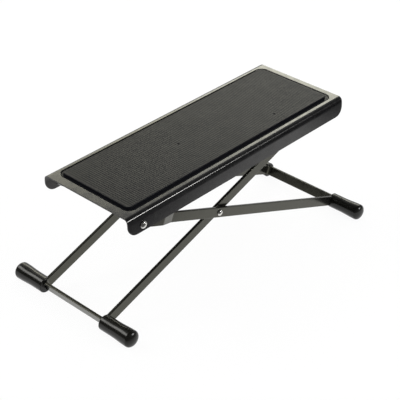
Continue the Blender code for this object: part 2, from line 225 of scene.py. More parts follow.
pivot = (pivot_inset, -pivot_drop)
rod_rest = (plate_length - rod_inset, -rod_drop)
plate_dip = (dip_between(side_view(pivot_place), side_view(rod_middle))
             - dip_between(pivot, rod_rest))
rear_dip = dip_between(side_view(pivot_place), side_view(crossing_place))
front_dip = dip_between(side_view(crossing_place), side_view(rod_middle))
rear_leg_upper = (crossing_place - pivot_place).length
rear_leg_length = (rear_foot - pivot_place).length
front_leg_upper = (rod_middle - crossing_place).length
front_leg_lower = (front_foot - crossing_place).length
rear_leg_angle = rear_dip - plate_dip
front_leg_angle = plate_dip - front_dip

plate_frame = carried(pivot_place, plate_dip) @ Matrix.Translation((-pivot[0], 0, -pivot[1]))
rear_axis = carried(pivot_place, rear_dip)
front_axis = carried(crossing_place, front_dip)

# Places across the width, from the middle plane
plate_side = plate_width / 2
flange_inner = plate_side - plate_sheet
pivot_leg_outer = flange_inner - pivot_washer_thickness - 2 * fit_gap
rear_leg_outer = pivot_leg_outer - jog_step
rear_leg_inner = rear_leg_outer - bar_thickness
front_leg_outer = rear_leg_inner - crossing_washer_thickness - 2 * fit_gap
front_leg_inner = front_leg_outer - bar_thickness
rack_outer = front_leg_inner - rack_leg_gap
tray_low = (tray_end_borders[0], tray_side_borders[0] - plate_side)
tray_high = (plate_length - tray_end_borders[1], plate_side - tray_side_borders[1])
tray_floor = -tray_depth
tray_underside = tray_floor - plate_sheet
pin_hole_radius = rivet_shank_radius + fit_gap
rod_lane_radius = rod_radius + rod_lane_gap
notch_radius = rod_radius + notch_gap

# Outlines


def arc(centre, radius, start, end, steps=quarter_steps):
    """Points on an arc in a plane, from one angle in degrees to another."""
    angles = [math.radians(start + (end - start) * step / steps) for step in range(steps + 1)]
    return [(centre[0] + radius * math.cos(a), centre[1] + radius * math.sin(a)) for a in angles]


def circle(centre, radius):
    """A circle whose points lie clear of its middle lines."""
    start = 180 / round_segments
    return arc(centre, radius, start, start + 360, round_segments)[:-1]


def quarter_turn(radius):
    """Pairs of how far a rounded edge has leaned over and risen, in even steps of its angle."""
    angles = [math.radians(90 * step / edge_steps) for step in range(edge_steps + 1)]
    return [(radius * (1 - math.cos(a)), radius * math.sin(a)) for a in angles]


def rounded_ring(low, high, radius, z):
    """A rectangle between two corners, with round corners and level at one height."""
    left, near = low[0] + radius, low[1] + radius
    right, far = high[0] - radius, high[1] - radius
    ring = []
    for quarter, centre in enumerate(((right, far), (left, far), (left, near), (right, near))):
        corner = arc(centre, radius, 90 * quarter, 90 * quarter + 90)
        ring += [(x, y, z) for x, y in corner]
    return ring


# Meshes


def add_rings(mesh, rings, closed=False):
    """Add a tube through rings of points. Its ends are filled, or joined to each other."""
    rows = [[mesh.verts.new(point) for point in ring] for ring in rings]
    count = len(rows[0])
    following_rows = rows[1:] + rows[:1] if closed else rows[1:]
    for row, following in zip(rows, following_rows):
        for index in range(count):
            after = (index + 1) % count
            mesh.faces.new((row[index], row[after], following[after], following[index]))
    if not closed:
        mesh.faces.new(rows[0])
        mesh.faces.new(rows[-1])


def tube(rings, closed=False):
    mesh = bmesh.new()
    add_rings(mesh, rings, closed)
    bmesh.ops.recalc_face_normals(mesh, faces=mesh.faces)
    return mesh


def drawn_along_y(outline, low, high):
    """Rings of an outline in X and Z at two places along Y."""
    return [[(x, y, z) for x, z in outline] for y in (low, high)]


def drawn_along_x(outline, low, high):
    """Rings of an outline in Y and Z at two places along X."""
    return [[(x, y, z) for y, z in outline] for x in (low, high)]


def turned(profile, side, segments, x=0):
    """Rings about a line along Y, from pairs of distance out on one side and radius."""
    rings = []
    for out, radius in profile:
        ring = arc((x, 0), radius, 0, 360, segments)[:-1]
        rings.append([(ring_x, side * out, ring_z) for ring_x, ring_z in ring])
    return rings


# Pieces


def linked(name, mesh, place):
    """An object of a bmesh, placed by a frame."""
    data = bpy.data.meshes.new(name)
    mesh.to_mesh(data)
    mesh.free()
    made = bpy.data.objects.new(name, data)
    made.matrix_world = place
    bpy.context.scene.collection.objects.link(made)
    return made


def combined(piece, mesh, operation="DIFFERENCE"):
    """Cut a mesh out of a piece, or join it on, in the piece's own frame."""
    tool = linked("tool", mesh, piece.matrix_world)
    step = piece.modifiers.new("tool", "BOOLEAN")
    step.operation = operation
    step.solver = "EXACT"
    step.object = tool
    apply_modifiers(piece)
    bpy.data.objects.remove(tool)


def apply_modifiers(piece):
    """Give the piece the mesh that its modifiers make."""
    bpy.context.view_layer.update()
    shown = piece.evaluated_get(bpy.context.evaluated_depsgraph_get())
    made = bpy.data.meshes.new_from_object(shown)
    piece.modifiers.clear()
    piece.data = made


def softened(piece, width):
    """Round the piece's sharp edges."""
    step = piece.modifiers.new("bevel", "BEVEL")
    step.width = width
    step.segments = bevel_segments
    step.limit_method = "ANGLE"
    step.angle_limit = bevel_angle
    apply_modifiers(piece)


def dressed(piece, body, finish, nodes):
    """Shade a piece, give it its finish, and let it ride on its body in place of CAD nodes."""
    piece.data.transform(piece.matrix_world)
    piece.matrix_world = Matrix.Identity(4)
    piece.data.shade_smooth()
    piece.data.set_sharp_from_angle(angle=smooth_angle)
    piece.data.materials.clear()
    piece.data.materials.append(finish)
    step = piece.modifiers.new("normals", "WEIGHTED_NORMAL")
    step.keep_sharp = True
    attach(piece, body)
    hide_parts(*nodes)


# Noise patterns, each as its scale in waves per metre and its detail
enamel_cloud = (45, 4)
enamel_scuffs = (260, 3)
enamel_gloss = (120, 5)
enamel_peel = (700, 2)
enamel_grit = (5000, 2)
rubber_speckle = (2600, 3)
rubber_dust = (38, 6)
rubber_gloss = (90, 4)
rubber_grain_detail = 3
plated_cloud = (300, 4)
plated_gloss = (900, 4)
plated_grain = (3000, 2)

# Bumps, each as its strength and its distance in metres
peel_bump = (0.03, 0.00004)
grit_bump = (0.02, 0.00001)
rubber_bump = (0.02, 0.00003)
plated_bump = (0.12, 0.00002)

# Ranges of noise, or of edge wear, that are spread over a whole change
noise_range = (0.35, 0.65)
worn_edge_range = (0.53, 0.62)
scuff_range = (0.5, 0.68)
speckle_range = (0.3, 0.7)
dust_range = (0.45, 0.75)
tarnish_range = (0.4, 0.7)

# How far tone and roughness change
enamel_tone_gain = 1.5
rubber_tone_gain = 1.2
dust_share = 0.35
enamel_gloss_swing = 0.04
rubber_gloss_swing = 0.02
plated_gloss_swings = (0.05, 0.08)

# Finishes


def add_node(tree, kind, settings=None, **values):
    """A node with its properties and its sockets' values set."""
    made = tree.nodes.new(kind)
    for key, value in (settings or {}).items():
        setattr(made, key, value)
    for key, value in values.items():
        made.inputs[key.replace("_", " ")].default_value = value
    return made


def noise(tree, scale, detail, stretch=(1, 1, 1)):
    """Noise on object coordinates, whose scale is in waves per metre."""
    place = add_node(tree, "ShaderNodeTexCoord")
    mapping = add_node(tree, "ShaderNodeMapping")
    mapping.inputs["Scale"].default_value = stretch
    made = add_node(tree, "ShaderNodeTexNoise", Scale=scale, Detail=detail)
    tree.links.new(place.outputs["Object"], mapping.inputs["Vector"])
    tree.links.new(mapping.outputs["Vector"], made.inputs["Vector"])
    return made.outputs["Fac"]


def ramp(tree, value, low, high, spread=noise_range):
    """Map a range of a value, by default a noise's middle, on to two numbers."""
    made = add_node(tree, "ShaderNodeMapRange")
    made.inputs["From Min"].default_value = spread[0]
    made.inputs["From Max"].default_value = spread[1]
    made.inputs["To Min"].default_value = low
    made.inputs["To Max"].default_value = high
    tree.links.new(value, made.inputs["Value"])
    return made.outputs["Result"]


def mixed(tree, share, first, second):
    """Mix two colours, each a value or a socket, by a share from a socket."""
    made = add_node(tree, "ShaderNodeMix", {"data_type": "RGBA"})
    tree.links.new(share, made.inputs["Factor"])
    for socket, colour in (("A_Color", first), ("B_Color", second)):
        target = next(s for s in made.inputs if s.identifier == socket)
        if isinstance(colour, tuple):
            target.default_value = colour
        else:
            tree.links.new(colour, target)
    return next(s for s in made.outputs if s.identifier == "Result_Color")


def bump(tree, height, strength, distance, before=None):
    made = add_node(tree, "ShaderNodeBump", Strength=strength, Distance=distance)
    tree.links.new(height, made.inputs["Height"])
    if before:
        tree.links.new(before, made.inputs["Normal"])
    return made.outputs["Normal"]


def new_finish(name):
    made = bpy.data.materials.new(name)
    made.use_nodes = True
    return made, made.node_tree, made.node_tree.nodes["Principled BSDF"]


def lifted(colour, gain):
    """A colour made lighter, with its alpha at 1."""
    return tuple(gain * c for c in colour[:3]) + (1,)


def paint(name, colour, worn, rough, ior, tint):
    """Black enamel: faint orange peel, cloudy gloss and slightly worn edges. Its tint paints a
    warm cast of light into its reflections.
    """
    made, tree, shader = new_finish(name)
    shader.inputs["IOR"].default_value = ior
    # Painted light: the specular tint warms every reflection on the enamel
    shader.inputs["Specular Tint"].default_value = tint
    cloud = noise(tree, *enamel_cloud)
    tone = mixed(tree, ramp(tree, cloud, 0, 1), colour, lifted(colour, enamel_tone_gain))
    edge = add_node(tree, "ShaderNodeNewGeometry").outputs["Pointiness"]
    scuffs = add_node(tree, "ShaderNodeMath", {"operation": "MULTIPLY"})
    tree.links.new(ramp(tree, edge, 0, 1, worn_edge_range), scuffs.inputs[0])
    patches = noise(tree, *enamel_scuffs)
    tree.links.new(ramp(tree, patches, 0, 1, scuff_range), scuffs.inputs[1])
    tree.links.new(mixed(tree, scuffs.outputs[0], tone, worn), shader.inputs["Base Color"])
    gloss = noise(tree, *enamel_gloss)
    swing = enamel_gloss_swing
    tree.links.new(ramp(tree, gloss, rough - swing, rough + swing), shader.inputs["Roughness"])
    peel = bump(tree, noise(tree, *enamel_peel), *peel_bump)
    grit = bump(tree, noise(tree, *enamel_grit), *grit_bump, peel)
    tree.links.new(grit, shader.inputs["Normal"])
    return made


def rubber(name, colour, dusty, rough, grain, ior):
    """Moulded rubber: speckled, a little dusty, with a fine grain."""
    made, tree, shader = new_finish(name)
    shader.inputs["IOR"].default_value = ior
    speckle = ramp(tree, noise(tree, *rubber_speckle), 0, 1, speckle_range)
    tone = mixed(tree, speckle, colour, lifted(colour, rubber_tone_gain))
    dust = ramp(tree, noise(tree, *rubber_dust), 0, dust_share, dust_range)
    tree.links.new(mixed(tree, dust, tone, dusty), shader.inputs["Base Color"])
    gloss = noise(tree, *rubber_gloss)
    swing = rubber_gloss_swing
    tree.links.new(ramp(tree, gloss, rough - swing, rough + swing), shader.inputs["Roughness"])
    pores = bump(tree, noise(tree, grain, rubber_grain_detail), *rubber_bump)
    tree.links.new(pores, shader.inputs["Normal"])
    return made


def plated(name, colour, tarnish, rough, stretch=(1, 1, 1)):
    """Plated steel: fine drawing lines or spots, and a thin cloudy tarnish."""
    made, tree, shader = new_finish(name)
    shader.inputs["Metallic"].default_value = 1
    cloud = ramp(tree, noise(tree, *plated_cloud), 0, 1, tarnish_range)
    tree.links.new(mixed(tree, cloud, colour, tarnish), shader.inputs["Base Color"])
    gloss = noise(tree, *plated_gloss, stretch)
    down, up = plated_gloss_swings
    tree.links.new(ramp(tree, gloss, rough - down, rough + up), shader.inputs["Roughness"])
    grain = bump(tree, noise(tree, *plated_grain, stretch), *plated_bump)
    tree.links.new(grain, shader.inputs["Normal"])
    return made


# The specular tints paint a warm cast of light into the enamel's reflections, most on the frames
plate_paint = paint("plate_enamel", (0.0050, 0.0050, 0.0055, 1), (0.04, 0.04, 0.038, 1),
                    rough=0.16, ior=1.5, tint=(1, 0.99, 0.96, 1))
frame_paint = paint("frame_enamel", (0.0050, 0.0048, 0.0045, 1), (0.05, 0.045, 0.04, 1),
                    rough=0.20, ior=1.65, tint=(1, 0.99, 0.78, 1))
rack_paint = paint("rack_enamel", (0.0055, 0.0055, 0.0055, 1), (0.05, 0.05, 0.045, 1),
                   rough=0.24, ior=1.5, tint=(1, 0.99, 0.90, 1))
mat_rubber = rubber("ribbed_rubber", (0.0055, 0.0058, 0.0078, 1), (0.0075, 0.0079, 0.0092, 1),
                    rough=0.32, grain=4200, ior=1.19)
foot_rubber = rubber("foot_rubber", (0.0042, 0.0040, 0.0030, 1), (0.010, 0.0098, 0.0085, 1),
                     rough=0.22, grain=3600, ior=1.42)
rivet_steel = plated("nickel_plate", (0.80, 0.79, 0.76, 1), (0.60, 0.58, 0.54, 1), rough=0.16)
washer_steel = plated("zinc_washer", (0.55, 0.55, 0.54, 1), (0.38, 0.38, 0.36, 1), rough=0.34)
rod_steel = plated("zinc_rod", (0.58, 0.58, 0.57, 1), (0.40, 0.40, 0.38, 1), rough=0.30,
                   stretch=(1, 0.05, 1))
stud_steel = plated("plain_stud", (0.50, 0.50, 0.49, 1), (0.34, 0.33, 0.31, 1), rough=0.40)

# Plate


def plate_section():
    """The channel's section: a flat top and two bends that ease into two flanges."""
    angle = math.radians(plate_flank_angle)
    beyond = plate_flank_radius - plate_bend_radius
    flank = (plate_side - plate_flank_radius, -plate_bend_radius - beyond * math.sin(angle))
    bend = (flank[0] + beyond * math.cos(angle), -plate_bend_radius)
    inner_flank = plate_flank_radius - plate_sheet
    inner_bend = plate_bend_radius - plate_sheet
    outer = [(plate_side, -flange_depth)]
    outer += arc(flank, plate_flank_radius, 0, plate_flank_angle)[:-1]
    outer += arc(bend, plate_bend_radius, plate_flank_angle, 90)
    inner = arc(bend, inner_bend, 90, plate_flank_angle)[:-1]
    inner += arc(flank, inner_flank, plate_flank_angle, 0) + [(flange_inner, -flange_depth)]
    near_outer = [(-y, z) for y, z in reversed(outer)]
    near_inner = [(-y, z) for y, z in reversed(inner)]
    return outer + near_outer + near_inner + inner


def tray_ring(grow, z):
    """The tray's wall line, grown or shrunk, at one height."""
    low = [edge - grow for edge in tray_low]
    high = [edge + grow for edge in tray_high]
    return rounded_ring(low, high, tray_corner_radius + grow, z)


def tray_hollow():
    """The tray's inside, with a rounded floor edge and a rounded lip."""
    floor = [
        tray_ring(rise - tray_floor_radius, tray_floor + lean)
        for lean, rise in quarter_turn(tray_floor_radius)
    ]
    lip = [
        tray_ring(lean, rise - tray_lip_radius)
        for lean, rise in quarter_turn(tray_lip_radius)
    ]
    return tube(floor + lip + [tray_ring(tray_lip_radius, cut_overrun)])


def tray_pan():
    """The pressed floor, which stands out below the plate's sheet."""
    return tube([
        tray_ring(plate_sheet, -plate_sheet / 2),
        tray_ring(plate_sheet, tray_underside + tray_floor_radius),
        tray_ring(plate_sheet - tray_floor_radius, tray_underside),
    ])


def flange_corner(end, inward, radius):
    """The waste outside the rounded lower corner of both flanges at one end."""
    centre = (end + inward * radius, radius - flange_depth)
    start = 180 if inward > 0 else 360
    outside = end - inward * cut_overrun
    below = -flange_depth - cut_overrun
    outline = [(outside, centre[1])] + arc(centre, radius, start, 270)
    outline += [(centre[0], below), (outside, below)]
    reach = plate_side + cut_overrun
    return tube(drawn_along_y(outline, -reach, reach))


def cross_hole(place, radius):
    """A round cutter along Y at a place in the side view, right across the width."""
    reach = plate_side + cut_overrun
    return tube(drawn_along_y(circle(place, radius), -reach, reach))


def make_plate():
    section = drawn_along_x(plate_section(), 0, plate_length)
    plate = linked("pressed_plate", tube(section), plate_frame)
    combined(plate, tray_pan(), "UNION")
    combined(plate, tray_hollow())
    combined(plate, flange_corner(0, 1, pivot_end_radius))
    combined(plate, flange_corner(plate_length, -1, rack_end_radius))
    combined(plate, cross_hole(pivot, pin_hole_radius))
    softened(plate, plate_edge_bevel)
    dressed(plate, "plate", plate_paint, ["top_plate"])


# Mat


def pad_corners(inset):
    """The raised pad's low and high corners in X and Y, set in evenly."""
    margins = list(zip(mat_pad_end_margins, mat_pad_side_margins))
    low = [edge + margin + inset for edge, margin in zip(tray_low, margins[0])]
    high = [edge - margin - inset for edge, margin in zip(tray_high, margins[1])]
    return low, high


def pad_ring(inset, z):
    return rounded_ring(*pad_corners(inset), mat_pad_corner_radius - inset, z)


def groove_outline(middle):
    """A smooth groove's section, closed above the mat's top."""
    outline = []
    for step in range(groove_steps + 1):
        share = step / groove_steps - 1 / 2
        dip = mat_groove_depth * (1 + math.cos(2 * math.pi * share)) / 2
        outline.append((middle + mat_groove_width * share, mat_pad_height - dip))
    above = mat_pad_height + mat_groove_depth
    half = mat_groove_width / 2
    return outline + [(middle + half, above), (middle - half, above)]


def mat_grooves():
    """Grooves across the pad's top."""
    low, high = pad_corners(mat_plain_margin)
    count = int((high[0] - low[0]) / mat_rib_pitch)
    cutter = bmesh.new()
    for index in range(count):
        middle = (low[0] + high[0]) / 2 + (index - (count - 1) / 2) * mat_rib_pitch
        add_rings(cutter, drawn_along_y(groove_outline(middle), low[1], high[1]))
    bmesh.ops.recalc_face_normals(cutter, faces=cutter.faces)
    return cutter


def moulding_marks():
    """Small round dimples in the mat's top."""
    levels = (
        (mark_radius * mark_floor_share, mat_pad_height - mark_depth),
        (mark_radius, mat_pad_height),
        (mark_radius, mat_pad_height + mark_depth),
    )
    cutter = bmesh.new()
    for x, y in mark_places:
        rings = []
        for radius, z in levels:
            ring = circle((x, y), radius)
            rings.append([(ring_x, ring_y, z) for ring_x, ring_y in ring])
        add_rings(cutter, rings)
    bmesh.ops.recalc_face_normals(cutter, faces=cutter.faces)
    return cutter


def make_mat():
    """The rim lies on the tray's floor, and the pad stands above the plate."""
    base = tray_floor + fit_gap
    rim_top = base + mat_rim_thickness
    shoulder = mat_pad_height - mat_shoulder_radius
    rings = [tray_ring(-mat_rim_gap, base)]
    rings += [
        tray_ring(-mat_rim_gap - lean, rim_top - mat_rim_round + rise)
        for lean, rise in quarter_turn(mat_rim_round)
    ]
    rings.append(pad_ring(0, rim_top))
    rings += [pad_ring(lean, shoulder + rise) for lean, rise in quarter_turn(mat_shoulder_radius)]
    mat = linked("ribbed_mat", tube(rings), plate_frame)
    combined(mat, mat_grooves())
    combined(mat, moulding_marks())
    dressed(mat, "plate", mat_rubber, ["rubber_mat"])


# Frames of bent bar


def bar_stations(path, radii):
    """Places and headings along a path in X and Y whose corners are rounded."""
    headings = [math.atan2(b[1] - a[1], b[0] - a[0]) for a, b in zip(path, path[1:])]
    stations = [(path[0], headings[0])]
    for corner, radius, before, after in zip(path[1:-1], radii, headings, headings[1:]):
        turn = math.remainder(after - before, 2 * math.pi)
        hand = math.copysign(radius, turn)
        back = radius * math.tan(abs(turn) / 2)
        start = (corner[0] - back * math.cos(before), corner[1] - back * math.sin(before))
        centre = (start[0] - hand * math.sin(before), start[1] + hand * math.cos(before))
        steps = math.ceil(2 * quarter_steps * abs(turn) / math.radians(90))
        for step in range(steps + 1):
            heading = before + turn * step / steps
            place = (centre[0] + hand * math.sin(heading), centre[1] - hand * math.cos(heading))
            stations.append((place, heading))
    return stations + [(path[-1], headings[-1])]


def bar_section():
    """The bar's section: pairs of places across its thickness and up its width."""
    half_t = bar_thickness / 2 - bar_edge_radius
    half_w = bar_width / 2 - bar_edge_radius
    section = []
    for quarter, (st, sw) in enumerate(((1, 1), (-1, 1), (-1, -1), (1, -1))):
        centre = (st * half_t, sw * half_w)
        section += arc(centre, bar_edge_radius, 90 * quarter, 90 * quarter + 90, edge_steps)
    return section


def bar_ring(place, heading, width_share=1):
    """The bar's section square to its heading, narrower where its end is rounded."""
    return [
        (place[0] - across * math.sin(heading), place[1] + across * math.cos(heading),
         up * width_share)
        for across, up in bar_section()
    ]


def rounded_end(station, outward):
    """Rings from the tip of a bar's rounded end up to the hole's middle."""
    place, heading = station
    rings = []
    for step in range(quarter_steps, 0, -1):
        angle = math.radians(90 * (step - bar_tip_steps) / quarter_steps)
        reach = outward * bar_width / 2 * math.sin(angle)
        spot = (place[0] + reach * math.cos(heading), place[1] + reach * math.sin(heading))
        rings.append(bar_ring(spot, heading, math.cos(angle)))
    return rings


def bent_frame(near_path, near_radii):
    """A bar bent along a path on the near side and back along its mirror image."""
    path = near_path + [(x, -y) for x, y in reversed(near_path)]
    stations = bar_stations(path, near_radii + near_radii[::-1])
    middle = [bar_ring(place, heading) for place, heading in stations]
    tip = rounded_end(stations[0], -1)
    other_tip = rounded_end(stations[-1], 1)
    return tube(tip + middle + other_tip[::-1])


def make_rear_frame():
    pivot_y = bar_thickness / 2 - pivot_leg_outer
    leg_y = bar_thickness / 2 - rear_leg_outer
    near_path = [
        (0, pivot_y),
        (jog_start, pivot_y),
        (jog_start + jog_length, leg_y),
        (rear_leg_length, leg_y),
    ]
    near_radii = [jog_bend_radius, jog_bend_radius, corner_bend_radius]
    made = linked("bent_rear_frame", bent_frame(near_path, near_radii), rear_axis)
    combined(made, cross_hole((0, 0), pin_hole_radius))
    combined(made, cross_hole((rear_leg_upper, 0), pin_hole_radius))
    softened(made, hole_edge_bevel)
    dressed(made, "rear_frame", frame_paint, ["rear_frame"])


def make_front_frame():
    leg_y = bar_thickness / 2 - front_leg_outer
    near_path = [(front_leg_upper, leg_y), (-front_leg_lower, leg_y)]
    made = linked("bent_front_frame", bent_frame(near_path, [corner_bend_radius]), front_axis)
    combined(made, cross_hole((0, 0), pin_hole_radius))
    combined(made, cross_hole((front_leg_upper, 0), rod_radius + fit_gap))
    softened(made, hole_edge_bevel)
    dressed(made, "front_frame", frame_paint, ["front_frame"])


# Height rod and racks


def make_height_rod():
    half = front_leg_outer
    end = [
        (half - rod_chamfer + rise, rod_radius - lean)
        for lean, rise in quarter_turn(rod_chamfer)
    ]
    profile = [(-out, radius) for out, radius in reversed(end)] + end
    place = front_axis @ Matrix.Translation((front_leg_upper, 0, 0))
    rod = linked("zinc_height_rod", tube(turned(profile, 1, round_segments)), place)
    dressed(rod, "front_frame", rod_steel, ["height_rod"])


def rod_place(turn):
    """The rod's place when the rear leg has turned down by this angle from rest."""
    dip = rear_leg_angle + turn
    climb = front_leg_angle + front_turn_share * turn
    return (pivot[0] + rear_leg_upper * math.cos(dip) + front_leg_upper * math.cos(climb),
            pivot[1] - rear_leg_upper * math.sin(dip) + front_leg_upper * math.sin(climb))


def rod_path():
    """The rod's places from the highest setting to folded flat, in order along X."""
    span = fold_angle + raise_angle
    return [rod_place(raise_angle - span * step / path_steps) for step in range(path_steps + 1)]


def path_height(path, x):
    """The rod's height at a place along the plate, between two known places on its path."""
    for (x0, z0), (x1, z1) in zip(path, path[1:]):
        if x0 <= x <= x1:
            return z0 + (z1 - z0) * (x - x0) / (x1 - x0)
    raise ValueError("the rod never reaches this place")


def rack_slot():
    """The slot's outline: a lane along the rod's path, with notches open to it from above."""
    path = rod_path()
    lower = [(x, z - rod_lane_radius) for x, z in path]
    folded_end = arc(path[-1], rod_lane_radius, 270, 450)[1:]
    high_end = arc(path[0], rod_lane_radius, 180, 270)[:-1]
    notches = []
    for index in range(notch_count):
        x = rod_rest[0] + (path[0][0] - rod_rest[0]) * index / (notch_count - 1)
        roof = path_height(path, x) + rod_lane_radius
        notches += arc((x, roof), notch_radius, 0, 180, 2 * quarter_steps)
    upper = [(x, z + rod_lane_radius) for x, z in reversed(path[:-1]) if x > notches[0][0]]
    return lower + folded_end + upper + notches + high_end


def make_rack(name, side, node):
    """A slotted wall, with a foot that is spot-welded under the tray."""
    path = rod_path()
    top = tray_underside - fit_gap
    foot_under = top - rack_wall
    bottom = min(z for _, z in path) - rod_lane_radius - rack_bottom_margin
    inner = rack_outer - rack_wall
    foot = rack_outer - rack_foot_width
    section = [(rack_outer, bottom), (rack_outer, top), (foot, top), (foot, foot_under),
               (inner, foot_under), (inner, bottom)]
    section = [(side * y, z) for y, z in section]
    ends = (path[0][0] - rack_end_margin, path[-1][0] + rack_end_margin)
    rack = linked(name, tube(drawn_along_x(section, *ends)), plate_frame)
    near, far = side * (inner - cut_overrun), side * (rack_outer + cut_overrun)
    combined(rack, tube(drawn_along_y(rack_slot(), near, far)))
    softened(rack, rack_edge_bevel)
    dressed(rack, "plate", rack_paint, [node])


# Rivets and washers


def rivet(outer_face, inner_face, head_radius, head_height):
    """A domed head, a shank and a flat tail, as pairs of distance out and radius."""
    seat = outer_face + fit_gap
    tail = inner_face - fit_gap
    steps = 2 * quarter_steps
    angles = [math.radians(90 * step / steps) for step in range(1, steps + 1)]
    head = [(seat + head_height * math.cos(a), head_radius * math.sin(a)) for a in angles]
    return head + [
        (seat, rivet_shank_radius),
        (tail, rivet_shank_radius),
        (tail, rivet_tail_radius),
        (tail - rivet_tail_height, rivet_tail_radius - rivet_tail_chamfer),
    ]


def washer(outer_face, thickness, radius):
    """A flat ring under the given face, as pairs of distance out and radius."""
    top = outer_face - fit_gap
    bottom = top - thickness
    return [(top, pin_hole_radius), (top, radius), (bottom, radius), (bottom, pin_hole_radius)]


def make_side_joints(side_name, side):
    """The rivet and washer at the flange, and those at the crossing, on one side."""
    pivot_rivet = rivet(plate_side, pivot_leg_outer - bar_thickness,
                        pivot_head_radius, pivot_head_height)
    crossing_rivet = rivet(rear_leg_outer, front_leg_inner,
                           crossing_head_radius, crossing_head_height)
    pivot_washer = washer(flange_inner, pivot_washer_thickness, pivot_washer_radius)
    crossing_washer = washer(rear_leg_inner, crossing_washer_thickness, crossing_washer_radius)
    crossing = carried(crossing_place, rear_dip)
    pieces = (
        ("pivot_rivet", pivot_rivet, False, rear_axis, "plate", "rivet_steel", rivet_steel),
        ("pivot_washer", pivot_washer, True, rear_axis, "plate", "washer_steel", washer_steel),
        ("crossing_rivet", crossing_rivet, False, crossing, "rear_frame", "rivet_steel",
         rivet_steel),
        ("crossing_washer", crossing_washer, True, crossing, "rear_frame", "washer_steel",
         washer_steel),
    )
    for name, profile, closed, place, body, slot, finish in pieces:
        mesh = tube(turned(profile, side, round_segments), closed)
        made = linked(f"plated_{name}_{side_name}", mesh, place)
        softened(made, washer_edge_bevel)
        dressed(made, body, finish, [f"{name}_{side_name}"])


# Feet


def cap_profile(inner_end):
    """A sleeve that flares from a rounded inner rim to a domed outer end."""
    rim = [
        (inner_end + lean, cap_inner_radius - cap_rim_radius + rise)
        for lean, rise in quarter_turn(cap_rim_radius)
    ]
    flare_start = inner_end + cap_rim_radius
    dome_start = inner_end + cap_length
    flare_low, flare_high = cap_flare_shares
    flare = []
    for step in range(1, flare_steps + 1):
        share = step / flare_steps
        flared = min(max((share - flare_low) / (flare_high - flare_low), 0), 1)
        growth = (1 - math.cos(math.pi * flared)) / 2
        flare.append((flare_start + (dome_start - flare_start) * share,
                      cap_inner_radius + (cap_outer_radius - cap_inner_radius) * growth))
    steps = 2 * quarter_steps
    angles = [math.radians(90 * (step - dome_tip_steps) / steps) for step in range(1, steps + 1)]
    dome = [
        (dome_start + cap_dome * math.sin(a), cap_outer_radius * math.cos(a)) for a in angles
    ]
    return rim + flare + dome


def cap_slot(x, leg_way, side, leg_outer):
    """The slot that lets the cap over the bar's bent corner, open towards the leg."""
    back = x - leg_way * (bar_thickness / 2 + fit_gap)
    front = x + leg_way * (cap_outer_radius + cut_overrun)
    half = bar_width / 2 + fit_gap
    outline = [(back, -half), (front, -half), (front, half), (back, half)]
    inside = side * (leg_outer - bar_thickness - cut_overrun)
    floor = side * (leg_outer + fit_gap)
    return tube(drawn_along_y(outline, inside, floor))


def make_foot(name, side, x, leg_way, leg_outer, place, body):
    """A rubber cap over a frame's bent corner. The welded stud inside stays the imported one."""
    sleeve = turned(cap_profile(leg_outer - bar_thickness), side, cap_segments, x)
    cap = linked(f"moulded_cap_{name}", tube(sleeve), place)
    combined(cap, cap_slot(x, leg_way, side, leg_outer))
    seat = leg_outer + fit_gap
    bore_radius = stud_radius + fit_gap
    bore = [(leg_outer - fit_gap, bore_radius), (seat + stud_length + fit_gap, bore_radius)]
    combined(cap, tube(turned(bore, side, round_segments, x)))
    softened(cap, cap_edge_bevel)
    dressed(cap, body, foot_rubber, [f"foot_cap_{name}"])
    stud = frame["nodes"][f"foot_stud_{name}"]
    stud.data.materials.clear()
    stud.data.materials.append(stud_steel)


# Stage. The floor and the world are brighter or dimmer to glossy rays along some directions
floor_reach = (-0.9, 3.0)
floor_white_share = 0.94
floor_colour = (0.9, 0.9, 0.9, 1)
floor_roughness = 0.9
# Painted shade in reflections: the floor's glow dims on the part's camera side and past the rack
# end
near_floor_shade = 0.10
near_floor_direction = (0.3134, 0.9496, 0)
near_floor_places = (-0.172, -0.122)
end_floor_shade = 0.22
end_floor_direction = (1, 0, 0)
end_floor_places = (0.262, 0.345)
level_light = 0.90
sweep_direction = (0.7071, 0.7071, 0)
dark_side_share = 0.12
sweep_range = (0.25, 0.75)
ceiling_stops = (
    (0.0, 0.6), (0.40, 0.6), (0.48, 1.0), (0.595, 1.0),
    (0.61, 0.65), (0.82, 0.60), (0.88, 0.2), (0.95, 0.0),
)

# Lamps: where each stands and what it faces, its width and height, its radiance and its tint
part_middle = (0, 0, 0.11)
softboxes = {
    "back_softbox": {
        "place": (2.746, 1.494, 1.855), "aim": (0.626, -0.626, 1.855),
        "size": (1.98, 0.71), "radiance": 5.0, "tint": (1.0, 0.985, 0.82),
    },
    "back_softbox_dim_half": {
        "place": (1.42, 2.82, 1.855), "aim": (-0.70, 0.70, 1.855),
        "size": (1.77, 0.71), "radiance": 3.7, "tint": (1.0, 0.97, 0.72),
    },
    "left_softbox": {
        "place": (-1.09, 1.56, 1.70), "aim": part_middle,
        "size": (1.2, 0.7), "radiance": 6.0, "tint": (1.0, 0.99, 0.95),
    },
    "strip_light": {
        "place": (1.402, -2.431, 1.185), "aim": part_middle,
        "size": (0.70, 0.32), "radiance": 38, "tint": (1.0, 1.0, 1.0),
    },
    "strip_tail": {
        "place": (1.794, -2.140, 1.185), "aim": part_middle,
        "size": (0.45, 0.32), "radiance": 3.2, "tint": (1.0, 1.0, 1.0),
    },
}


def along(tree, coordinates, direction):
    """How far a place or a ray lies along a direction."""
    place = add_node(tree, "ShaderNodeTexCoord")
    made = add_node(tree, "ShaderNodeVectorMath", {"operation": "DOT_PRODUCT"})
    made.inputs[1].default_value = direction
    tree.links.new(place.outputs[coordinates], made.inputs[0])
    return made.outputs["Value"]


